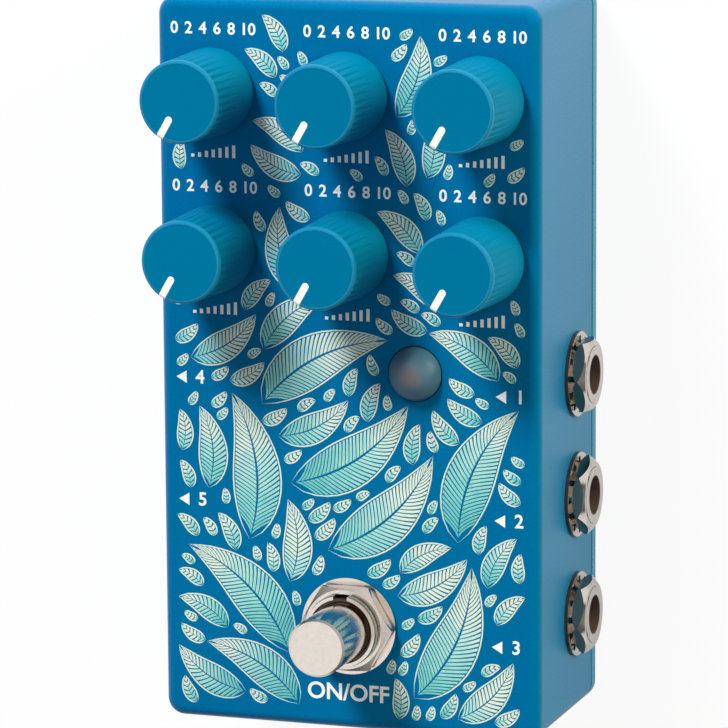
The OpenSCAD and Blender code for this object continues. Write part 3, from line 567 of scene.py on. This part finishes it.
def pointer_edges(name, place):
    """The least and the greatest heading of a pointer's outer end from its knob's axis, in radians."""
    x, y = (points_of(solids[f"{name}_pointer"].data)[:, :2] / MM - place).T
    heading = np.arctan2(y, x)[np.hypot(x, y) > RIM_RADIUS - EDGE_RADIUS / 2]
    return heading.min(), heading.max()


for name, place in zip(CONTROLS, knob_places):
    first, last = pointer_edges(name, place)
    sweep = np.linspace(last + LINE_GAP, first + 2 * np.pi - LINE_GAP, RIM_STEPS)[:, None]
    knob_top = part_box(f"{name}_knob")[1].z / MM
    tube_piece(
        f"{name}_rim", place, sweep, rim_radii, knob_top + rim_heights,
        rim_painted_highlight, f"{name}_control")

# %% [markdown]
# The layout of the face
#
# The printing has to keep clear of the hardware, so most of its places are worked out from the middles
# of the solids, in millimetres. Labels stand behind and in front of each knob and in front of the foot
# switch. The marks of the sockets stand near the edges of the face, about level with their sockets.

# %% Lay out the face
# Millimetres from a knob or the switch, and places on the face
LABEL_BEHIND, LABEL_AHEAD = 10.3, -10.0
WORDS_SHIFT = (-0.3, -11.6)
LEFT_MARKS = np.array([[-27.6, -2.6], [-27.4, -23.4]])
RIGHT_MARKS = np.array([[28.1, -3.1], [27.9, -23.8], [27.4, -45.1]])

FACE_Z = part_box("enclosure")[1].z / MM
FACE_HALF = np.array(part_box("enclosure")[1].to_2d()) / MM
behind = knob_places + [0, LABEL_BEHIND]
ahead = knob_places + [0, LABEL_AHEAD]
words_place = switch_place + WORDS_SHIFT
print("face at", round(FACE_Z, 2), "mm, knobs at", knob_places.round(1).tolist())

# %% [markdown]
# A printed leaf
#
# The face is screen printed with foliage in cream, mint and teal. A leaf could be drawn as one flat
# shape with painted veins, but here each vein is its own thin strip of ink, so the blue coat shows
# between them as in a woodcut. A leaf has two parameters: along its midrib, which is a shallow parabola
# from root to tip, and across from one margin to the other.

# %% Work out leaves
BELLY = 0.75


def leaf_points(root, tip, bend, half_width, along, across, extra=0.0):
    """Points on leaves. The midrib is the chord plus 4 * along * (1 - along) * bend chords sideways. The
    half width is half_width * sin(pi * along ** BELLY), so the widest place is nearer to the root. A point
    lies across half widths plus extra from the midrib, at a right angle to it."""
    chord = tip - root
    sideways = np.stack([-chord[..., 1], chord[..., 0]], -1)
    rib = root + along[..., None] * chord + (4 * along * (1 - along) * bend)[..., None] * sideways
    slope = chord + (4 * (1 - 2 * along) * bend)[..., None] * sideways
    normal = np.stack([-slope[..., 1], slope[..., 0]], -1)
    normal /= np.linalg.norm(normal, axis=-1, keepdims=True)
    reach = across * half_width * np.sin(np.pi * np.clip(along, 0, 1) ** BELLY) + extra
    return rib + reach[..., None] * normal


print("a leaf is widest at", round(0.5 ** (1 / BELLY), 2), "of its length")

# %% [markdown]
# Free ground
#
# Leaves must not run under the knobs or through the labels. Testing each leaf against each shape would
# take a rule for every kind of shape, so the face is divided into small cells instead, and each one is
# either free or not. Round hardware and the boxes of the labels are taken out first.

# %% Mark the free ground
# Millimetres: the size of a cell, the bare border of the face, radii, and half widths and heights of labels
CELL, MARGIN = 0.3, 2.3
ROUND_PLACES = ((knob_places, 8.0), ([lens_place], 5.3), ([switch_place], 8.8))
LABEL_PLACES = ((behind, 8.6, 1.7), (ahead, 4.6, 1.6), (LEFT_MARKS, 3.6, 1.8), (RIGHT_MARKS, 3.6, 1.8),
                ([words_place], 7.4, 2.2))

cells = np.ceil(2 * (FACE_HALF - MARGIN) / CELL).astype(int)
cell_x, cell_y = np.meshgrid(*((np.arange(n) + 0.5) * CELL - n * CELL / 2 for n in cells), indexing="ij")
free = np.ones(cells, bool)
for places, radius in ROUND_PLACES:
    for x, y in places:
        free &= np.hypot(cell_x - x, cell_y - y) > radius
for places, half_w, half_h in LABEL_PLACES:
    for x, y in places:
        free &= (np.abs(cell_x - x) > half_w) | (np.abs(cell_y - y) > half_h)
print("free share of the face", round(float(free.mean()), 2))

# %% [markdown]
# Packing the leaves
#
# Leaves follow a slow wave over the face. They are placed one by one, the longest first: a place is
# tried at random, and it is kept only if every point of the leaf, and of a narrow border round it, lies
# on free ground. The seed is fixed, so each run prints the same face. Towards the rear, more of the
# places are dropped untried, and the print thins out between the knobs.

# %% Pack the leaves
LENGTHS = (25.0, 19.0, 14.0, 10.0, 7.0, 5.0, 3.6, 2.6)
TRIES = (1500, 1500, 2000, 3000, 5000, 7000, 9000, 9000)
# Half a leaf's width is SLIM * length ** SLIMMER
SLIM, SLIMMER = 0.19, 0.95
# Lengths of the wave in millimetres, and headings in degrees
WAVE_X, WAVE_Y, UPRIGHT, SWING = 84, 96, 90, 62
# The bend in chords, and the free border in millimetres
BEND, BORDER = 0.11, 0.4
# Behind THIN_FROM, a place is dropped with a chance that grows to 1 over THIN_OVER millimetres
THIN_FROM, THIN_OVER = 6, 60
SPOTS_PER_CELL, FEWEST_SPOTS, SEED = 1.5, 3, 7


def cell_of(points):
    """Numbers of the cells that points lie in: the point over the cell's size, counted from the corner."""
    return np.floor(points / CELL + cells / 2).astype(int)


rng = np.random.default_rng(SEED)
leaves = {}
for length, tries in zip(LENGTHS, TRIES):
    half_width = SLIM * length ** SLIMMER
    along = np.linspace(0, 1, int(length / CELL * SPOTS_PER_CELL))[:, None]
    across = np.linspace(-1, 1, int(2 * half_width / CELL * SPOTS_PER_CELL) + FEWEST_SPOTS)[None]
    along, across = np.broadcast_arrays(along, across)
    kept = []
    for x, y, tone, luck in rng.uniform(-1, 1, (tries, 4)):
        root = np.array([x, y]) * (FACE_HALF - MARGIN)
        dropped = luck * 0.5 + 0.5 < (root[1] - THIN_FROM) / THIN_OVER
        if dropped or not free[tuple(cell_of(root))]:
            continue
        phase = 2 * np.pi * (root[0] / WAVE_X + root[1] / WAVE_Y)
        heading = np.radians(UPRIGHT + SWING * np.sin(phase))
        tip = root + length * np.array([np.cos(heading), np.sin(heading)])
        bend = BEND * np.sign(np.cos(phase))
        spots = cell_of(leaf_points(root, tip, bend, half_width, along, across, BORDER * across))
        if (spots < 0).any() or (spots >= cells).any() or not free[spots[..., 0], spots[..., 1]].all():
            continue
        free[spots[..., 0], spots[..., 1]] = False
        kept.append((*root, *tip, bend, half_width, tone * 0.5 + 0.5))
    leaves[length] = np.array(kept)
print("leaves of each length", {length: len(kept) for length, kept in leaves.items()})
print("free share left", round(float(free.mean()), 2))

# %% [markdown]
# The ink of the leaves
#
# Each leaf fades from teal at its root to mint and cream at its tip, as inks do that are blended in one
# pull of the squeegee. The fade follows the leaf, so it can't come from places on the face: it reads the
# mesh's own UV map, which holds the way along the leaf and the leaf's own tone. A noise of 1.6 mm lets
# the ink look worn.

# %% Mix the blended ink
# The fade is the way along the leaf, plus shares of its tone and of a noise with cells in millimetres
TONE_SHARE, WEAR_SHARE, WEAR_SIZE = 0.45, 0.4, 1.6
blended_ink = new_finish("blended_screen_ink")
tree, shader, coordinates = open_finish(blended_ink)
uv = add_node(tree, "ShaderNodeUVMap", {"uv_map": "leaf"}, "UV")
parts = add_node(tree, "ShaderNodeSeparateXYZ", {"Vector": uv}).outputs
fade = add_node(tree, "ShaderNodeMath", {
    "operation": "MULTIPLY_ADD", 0: parts["Y"], 1: TONE_SHARE, 2: parts["X"]}, "Value")
mottle = add_node(tree, "ShaderNodeTexNoise", {
    "Vector": coordinates["Object"], "Scale": 1 / (WEAR_SIZE * MM), "Detail": 3.0}, "Fac")
worn = add_node(tree, "ShaderNodeMath", {
    "operation": "MULTIPLY_ADD", 0: mottle, 1: WEAR_SHARE, 2: fade}, "Value")
blend = add_node(tree, "ShaderNodeValToRGB", {"Fac": worn, "stops": [
    (0.2, linear("#50b4b0")), (0.55, linear("#86d2c8")),
    (0.85, linear("#b4e2d6")), (1.0, linear("#dcecd8")),
]}, "Color")
tree.links.new(blend, shader.inputs["Base Color"])
shader.inputs["Roughness"].default_value = 0.45
shader.inputs["IOR"].default_value = 1.35
print("ink", blended_ink.name)

# %% [markdown]
# Drawing the leaves
#
# Leaves of one length share a number of veins, so together they are one array: leaf, side, vein, place
# along the vein, edge of the strip. Strips start at the midrib and slant forwards. Margins are a second
# array of narrow ribbons just outside the leaf, which run out to nothing at root and tip.

# %% Draw the leaves of one length
# Shares of the way out along a vein
STEPS, FIRST_STEP, LAST_STEP = 4, 0.05, 0.97
# Shares of the way along the midrib
FIRST_VEIN, VEINED, SLANT, TIP = 0.03, 0.88, 0.11, 0.99
# Shares of the distance between two veins
STRIP_WIDTH, STRIP_NARROWS = 0.78, 0.18
# Millimetres outside the leaf's edge, how fast the ends taper, and the fade at the root
MARGIN_STEPS, MARGIN_EDGES, MARGIN_ENDS, MARGIN_FADE = 16, (0.06, 0.3), 10, 0.6


def grid_faces(count, rows, columns):
    """Corner numbers of the faces of count separate grids of points, each rows by columns."""
    return quads(np.arange(count * rows * columns).reshape(count, rows, columns))


def draw_leaves(kept, veins):
    """Points, UV values and faces of these leaves. A strip starts at its vein's share of the midrib and
    runs forwards by SLANT of the leaf while it goes out to the margin. It is STRIP_WIDTH of a vein's
    spacing wide, and narrows by STRIP_NARROWS. A margin is a ribbon between two distances from the leaf's
    edge, which shrink to zero with MARGIN_ENDS * way * (1 - way)."""
    count = len(kept)
    root, tip, bend, half_width, tone = (
        values.reshape(count, 1, 1, 1, 1, *values.shape[1:])
        for values in (kept[:, :2], kept[:, 2:4], kept[:, 4], kept[:, 5], kept[:, 6]))
    side = np.array([-1.0, 1.0])[None, :, None, None, None]
    vein = (np.arange(veins) / veins)[None, None, :, None, None]
    step = np.linspace(FIRST_STEP, LAST_STEP, STEPS)[None, None, None, :, None]
    edge = np.array([0.0, 1.0])[None, None, None, None]
    width = edge * (STRIP_WIDTH - STRIP_NARROWS * step) * VEINED / veins
    along = np.clip(FIRST_VEIN + VEINED * vein + SLANT * step + width, 0, TIP) + 0 * side
    strips = leaf_points(root, tip, bend, half_width, along, side * step + 0 * along)
    edge = np.array(MARGIN_EDGES)[None, None, None, None]
    way = np.linspace(0.0, 1.0, MARGIN_STEPS)[None, None, None, :, None] + 0 * side + 0 * edge
    shrink = np.minimum(1, MARGIN_ENDS * way * (1 - way))
    margins = leaf_points(root, tip, bend, half_width, way, side + 0 * way, side * edge * shrink)
    flat = np.concatenate([strips.reshape(-1, 2), margins.reshape(-1, 2)])
    fades = (along, MARGIN_FADE + (1 - MARGIN_FADE) * way)
    uv = np.concatenate([np.stack(np.broadcast_arrays(fade, tone), -1).reshape(-1, 2) for fade in fades])
    faces = np.concatenate([
        grid_faces(count * 2 * veins, STEPS, 2), grid_faces(count * 2, MARGIN_STEPS, 2) + strips.size // 2])
    return flat, uv, faces


# %% [markdown]
# Printing the leaves
#
# A print has to show its upper side, so each face whose area, by the shoelace formula, comes out
# negative is turned round. A little thickness makes the print a closed skin on the coat, 0.03 mm high,
# as a real layer of ink is. Large and small leaves are two pieces, to keep each mesh light.

# %% Print the leaves
# Millimetres: the height of the ink, and about one vein for each VEIN_PITCH of a leaf
INK, VEIN_PITCH, FEWEST_VEINS = 0.03, 0.85, 4
# How many of the lengths count as large
LARGE = 3


def facing_up(flat, faces):
    """The same faces, facing upwards. Twice a face's area is the sum of x * next y - next x * y round it,
    and where that is negative the order of the corners is turned round."""
    x, y = flat[faces, 0], flat[faces, 1]
    area = (x * np.roll(y, -1, 1) - np.roll(x, -1, 1) * y).sum(1)
    return np.where((area < 0)[:, None], faces[:, ::-1], faces)


def print_on_face(name, flat, faces, ink):
    """A skin of ink on the face, from flat points and faces. Solidify thickens it downwards."""
    points = np.column_stack([flat, np.full(len(flat), FACE_Z + INK)])
    piece = new_piece(name, points, faces, ink, "chassis")
    skin = piece.modifiers.new("ink", "SOLIDIFY")
    skin.thickness, skin.offset = INK * MM, -1.0
    return piece


def print_leaves(name, lengths):
    """One skin of blended ink with all leaves of these lengths."""
    veins = [max(FEWEST_VEINS, round(length / VEIN_PITCH)) for length in lengths]
    flats, uvs, faces = zip(*(draw_leaves(leaves[length], count) for length, count in zip(lengths, veins)))
    starts = np.cumsum([0] + [len(flat) for flat in flats])
    flat, uv = np.concatenate(flats), np.concatenate(uvs)
    faces = facing_up(flat, np.concatenate([part + start for part, start in zip(faces, starts)]))
    piece = print_on_face(name, flat, faces, blended_ink)
    piece.data.uv_layers.new(name="leaf").data.foreach_set("uv", uv[faces].ravel())


print_leaves("large_leaf_print", LENGTHS[:LARGE])
print_leaves("small_leaf_print", LENGTHS[LARGE:])

# %% [markdown]
# Numbers
#
# The labels are plain: numbers from 0 to 10 behind each knob, a rising scale in front of it, an arrow
# and a number at each socket, and ON/OFF at the foot switch. Blender's own font is turned to a mesh
# first, and then the mesh is moved to its place by numpy. The outline is offset a little, because a bold
# face reads better from a standing height.

# %% Print the numbers
# The height of a capital and the offset of the outline in the font's own units
CAPITAL, BOLD, CURVE_STEPS = 0.73, 0.02, 4
SCALE, SCALE_HEIGHT = ("0", "2", "4", "6", "8", "10"), 2.0
SCALE_SHIFTS = (-6.6, -4.1, -1.6, 0.9, 3.4, 6.3)
white_ink = grained_finish(
    "white_screen_ink", ("#eef2ef", "#fbfdfb"), grain=0.6, rough=(0.4, 0.5), relief=0.002)


def lettering(text, place, height):
    """Points and faces of a line of text, centred on a place, with capitals of that height in millimetres.
    In the font a capital is CAPITAL high, so the points are multiplied by height / CAPITAL."""
    curve = bpy.data.curves.new("text", "FONT")
    curve.body, curve.align_x, curve.align_y = text, "CENTER", "CENTER"
    curve.offset, curve.resolution_u = BOLD, CURVE_STEPS
    writing = bpy.data.objects.new("text", curve)
    mesh = bpy.data.meshes.new_from_object(writing)
    flat = points_of(mesh)[:, :2]
    faces = [list(face.vertices) for face in mesh.polygons]
    bpy.data.objects.remove(writing)
    bpy.data.meshes.remove(mesh)
    return flat * height / CAPITAL + place, faces


def print_labels(name, shapes):
    """One skin of white ink from several flat shapes, each with its points and faces."""
    starts = np.cumsum([0] + [len(flat) for flat, faces in shapes])
    flat = np.concatenate([flat for flat, faces in shapes])
    faces = [[corner + start for corner in face]
             for (_, faces), start in zip(shapes, starts) for face in faces]
    print_on_face(name, flat, faces, white_ink)


print_labels("scale_numbers", [
    lettering(number, place + [shift, 0], SCALE_HEIGHT)
    for place in behind for number, shift in zip(SCALE, SCALE_SHIFTS)])

# %% [markdown]
# Bars, arrows and words
#
# The small marks are polygons of a few corners. A bar of the rising scale is a rectangle, and an arrow
# is a triangle that points left, beside its number: into the unit at the inputs, and out of it at the
# outputs.

# %% Print the small marks
# Millimetres
BARS, BAR_HALF, BAR_FOOT = 7, 0.28, -1.0
BAR_LOWEST, BAR_HIGHEST, BARS_HALF = 0.5, 2.1, 3.6
ARROW = np.array([[-1.0, 0.0], [0.8, -1.05], [0.8, 1.05]])
MARK_HALF, MARK_HEIGHT, WORDS_HEIGHT = 1.6, 2.3, 2.9

bar = np.array([[-BAR_HALF, 0.0], [BAR_HALF, 0.0], [BAR_HALF, 1.0], [-BAR_HALF, 1.0]])
bar_heights = np.linspace(BAR_LOWEST, BAR_HIGHEST, BARS)
bar_shifts = np.linspace(-BARS_HALF, BARS_HALF, BARS)
print_labels("level_marks", [
    (bar * [1, height] + place + [shift, BAR_FOOT], [[0, 1, 2, 3]])
    for place in ahead for height, shift in zip(bar_heights, bar_shifts)])

marks = []
for place, number in zip([*RIGHT_MARKS, *LEFT_MARKS], "12345"):
    marks.append((ARROW + place - [MARK_HALF, 0], [[0, 1, 2]]))
    marks.append(lettering(number, place + [MARK_HALF, 0], MARK_HEIGHT))
print_labels("socket_marks", marks)
print_labels("switch_words", [lettering("ON/OFF", words_place, WORDS_HEIGHT)])

# %% [markdown]
# The screw thread of the foot switch
#
# Above its nut, the bushing of the foot switch shows its last turns of thread, open at the keyway. A
# thread is a profile carried round a helix: the radius rises and falls once for each pitch of height,
# and the wave moves up by one pitch in each turn. It runs out at both ends, and the profile closes
# behind, just inside the bushing.

# %% Cut the thread
# Millimetres, and degrees for half the opening at the keyway
PITCH, DEPTH, KEYWAY, RUN_OUT = 0.75, 0.14, 13.0, 0.15
BUSH_RADIUS, ROOT_PROUD, BACK_SUNK = 6.0, 0.01, 0.06
ABOVE_NUT, BELOW_TOP = 0.03, 0.25
TURN_STEPS, LEVEL_STEPS = 181, 33

low_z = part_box("switch_nut")[1].z / MM + ABOVE_NUT
high_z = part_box("switch_bushing")[1].z / MM - BELOW_TOP
turn = np.radians(np.linspace(90 + KEYWAY, 450 - KEYWAY, TURN_STEPS))[:, None]
level = np.linspace(low_z, high_z, LEVEL_STEPS)[None]
wave = 0.5 + 0.5 * np.cos(2 * np.pi * (level / PITCH - turn / (2 * np.pi)))
full = np.clip(np.minimum(level - low_z, high_z - level) / RUN_OUT, 0, 1)
outer = BUSH_RADIUS + ROOT_PROUD + DEPTH * wave * full
radius = np.concatenate([outer, np.full_like(outer, BUSH_RADIUS - BACK_SUNK)], 1)
level = np.concatenate([level, level[:, ::-1]], 1)
tube_piece("bushing_thread", switch_place, turn, radius, level, thread_nickel_painted_root_shade, "chassis")

# %% [markdown]
# The return spring
#
# Inside the switch case, a wire spring lifts the plunger, and it gets shorter when the plunger goes down.
# Here it is made again as a mesh of its own, to the size of the solid spring. A spring is a circle carried
# along a helix: one angle goes round the axis while the wire rises, and the other round the wire.

# %% Wind the spring
WIRE, COILS = 0.7, 4
COIL_STEPS, WIRE_STEPS = 24, 10
low, high = (np.array(corner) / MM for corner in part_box("switch_spring"))
coil = np.linspace(0, 2 * np.pi * COILS, COIL_STEPS * COILS + 1)[:, None]
around = (np.arange(WIRE_STEPS) * 2 * np.pi / WIRE_STEPS)[None]
radius = (high[0] - low[0]) / 2 - WIRE / 2 + WIRE / 2 * np.cos(around)
rise = (high[2] - low[2] - WIRE) * coil / coil[-1]
level = low[2] + WIRE / 2 + rise + WIRE / 2 * np.sin(around)
spring = tube_piece("return_spring", switch_place, coil, radius, level, zinc_steel, "chassis")
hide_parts("switch_spring")

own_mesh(spring)

# %% [markdown]
# The table
#
# The photograph has a white surround. The table is a white plane that looks white to the camera and in
# mirrors, while the soft shadow of the box still shows on it. Light Path tells the kinds of ray apart.
# In mirrors the table is a little darker towards the front, as a table is that is lit from behind.

# %% Lay the table
# Metres, and the share of white that a ray sees
HALF_TABLE, BELOW_FEET = 3.0, 0.05 * MM
FRONT, BACK = -0.07, 0.06
FRONT_GLOW, BACK_GLOW, SEEN_GLOW = 0.3, 0.92, 0.92


def ray_shares(tree):
    """Two values of 0 or 1: whether the camera sees the surface, and whether a mirror or glass does."""
    rays = add_node(tree, "ShaderNodeLightPath", {}).outputs
    mirrored = add_node(tree, "ShaderNodeMath", {
        "operation": "MAXIMUM", 0: rays["Is Glossy Ray"], 1: rays["Is Transmission Ray"]}, "Value")
    return rays["Is Camera Ray"], mirrored


white_table = new_finish("white_table")
tree, shader, coordinates = open_finish(white_table)
shader.inputs["Base Color"].default_value = linear("#f4f5f4")
shader.inputs["Roughness"].default_value = 0.9
seen, mirrored = ray_shares(tree)
backwards = add_node(tree, "ShaderNodeSeparateXYZ", {"Vector": coordinates["Object"]}, "Y")
lit = add_node(tree, "ShaderNodeMapRange", {
    "Value": backwards, "From Min": FRONT, "From Max": BACK,
    "To Min": FRONT_GLOW, "To Max": BACK_GLOW}, "Result")
white = add_node(tree, "ShaderNodeMath", {"operation": "MULTIPLY", 0: seen, 1: SEEN_GLOW}, "Value")
share = add_node(tree, "ShaderNodeMath", {
    "operation": "MULTIPLY_ADD", 0: mirrored, 1: lit, 2: white}, "Value")
glow = add_node(tree, "ShaderNodeEmission", {"Color": linear("#ffffff"), "Strength": 1.0}, "Emission")
mixed = add_node(tree, "ShaderNodeMixShader", {0: share, 1: shader.outputs["BSDF"], 2: glow}, "Shader")
tree.links.new(mixed, tree.nodes["Material Output"].inputs["Surface"])

corners = HALF_TABLE * np.array([[-1, -1], [1, -1], [1, 1], [-1, 1]])
mesh = bpy.data.meshes.new("table")
mesh.from_pydata(np.column_stack([corners, np.full(4, -BELOW_FEET)]).tolist(), [], [[0, 1, 2, 3]])
mesh.materials.append(white_table)
table = bpy.data.objects.new("table", mesh)
scene.collection.objects.link(table)
print("table", 2 * HALF_TABLE, "m wide")

# %% [markdown]
# The world
#
# The world gives an even light, and the camera sees it white. In mirrors it is white overhead and grey
# near the horizon, like a studio with a bright ceiling, so that the edges of polished metal stand out.

# %% Light the studio
# Strengths for other rays and for the camera
EVEN, WHITE = 0.32, 1.0
# The upward part of a direction, and what a mirror sees there beyond the even light
HORIZON, OVERHEAD = 0.05, 0.75
HORIZON_MORE, OVERHEAD_MORE = -0.26, 0.82

world = bpy.data.worlds.new("studio")
scene.world = world
world.use_nodes = True
tree = world.node_tree
seen, mirrored = ray_shares(tree)
direction = add_node(tree, "ShaderNodeTexCoord", {}, "Generated")
upwards = add_node(tree, "ShaderNodeSeparateXYZ", {"Vector": direction}, "Z")
more = add_node(tree, "ShaderNodeMapRange", {
    "Value": upwards, "From Min": HORIZON, "From Max": OVERHEAD,
    "To Min": HORIZON_MORE, "To Max": OVERHEAD_MORE}, "Result")
plain = add_node(tree, "ShaderNodeMapRange", {"Value": seen, "To Min": EVEN, "To Max": WHITE}, "Result")
light = add_node(tree, "ShaderNodeMath", {
    "operation": "MULTIPLY_ADD", 0: mirrored, 1: more, 2: plain}, "Value")
sky = tree.nodes["Background"]
sky.inputs["Color"].default_value = linear("#ffffff")
tree.links.new(light, sky.inputs["Strength"])
print("world", world.name)

# %% [markdown]
# Two lamps
#
# One large lamp behind and to the left throws the soft shadows that the knobs cast towards the front and
# the right. A weaker and warmer one, low on the right, opens up the side wall and the right-hand sides
# of the knobs. In a studio such light comes from large diffusing walls, so the lamps themselves don't
# show in mirrors: polished metal mirrors the world and the table, and the print stays clear when the
# face is seen from the front.


# %% Hang the lamps
def hang_lamp(name, place, size, watts, tint):
    """A round area lamp at a place in metres, aimed at the middle of the unit and unseen in mirrors."""
    lamp = bpy.data.lights.new(name, "AREA")
    lamp.shape, lamp.size, lamp.energy = "DISK", size, watts
    lamp.color = linear(tint)[:3]
    hung = bpy.data.objects.new(name, lamp)
    scene.collection.objects.link(hung)
    hung.location, hung.visible_glossy = place, False
    hung.rotation_mode = "QUATERNION"
    hung.rotation_quaternion = (-hung.location).to_track_quat("-Z", "Y")
    print(name, watts, "W at", place)


hang_lamp("key", (-0.7, 1.65, 1.3), size=0.6, watts=56.0, tint="#ffffff")
hang_lamp("fill", (1.0, 0.5, 0.14), size=0.5, watts=12.5, tint="#fffbcc")

# %% Finish
print("done")
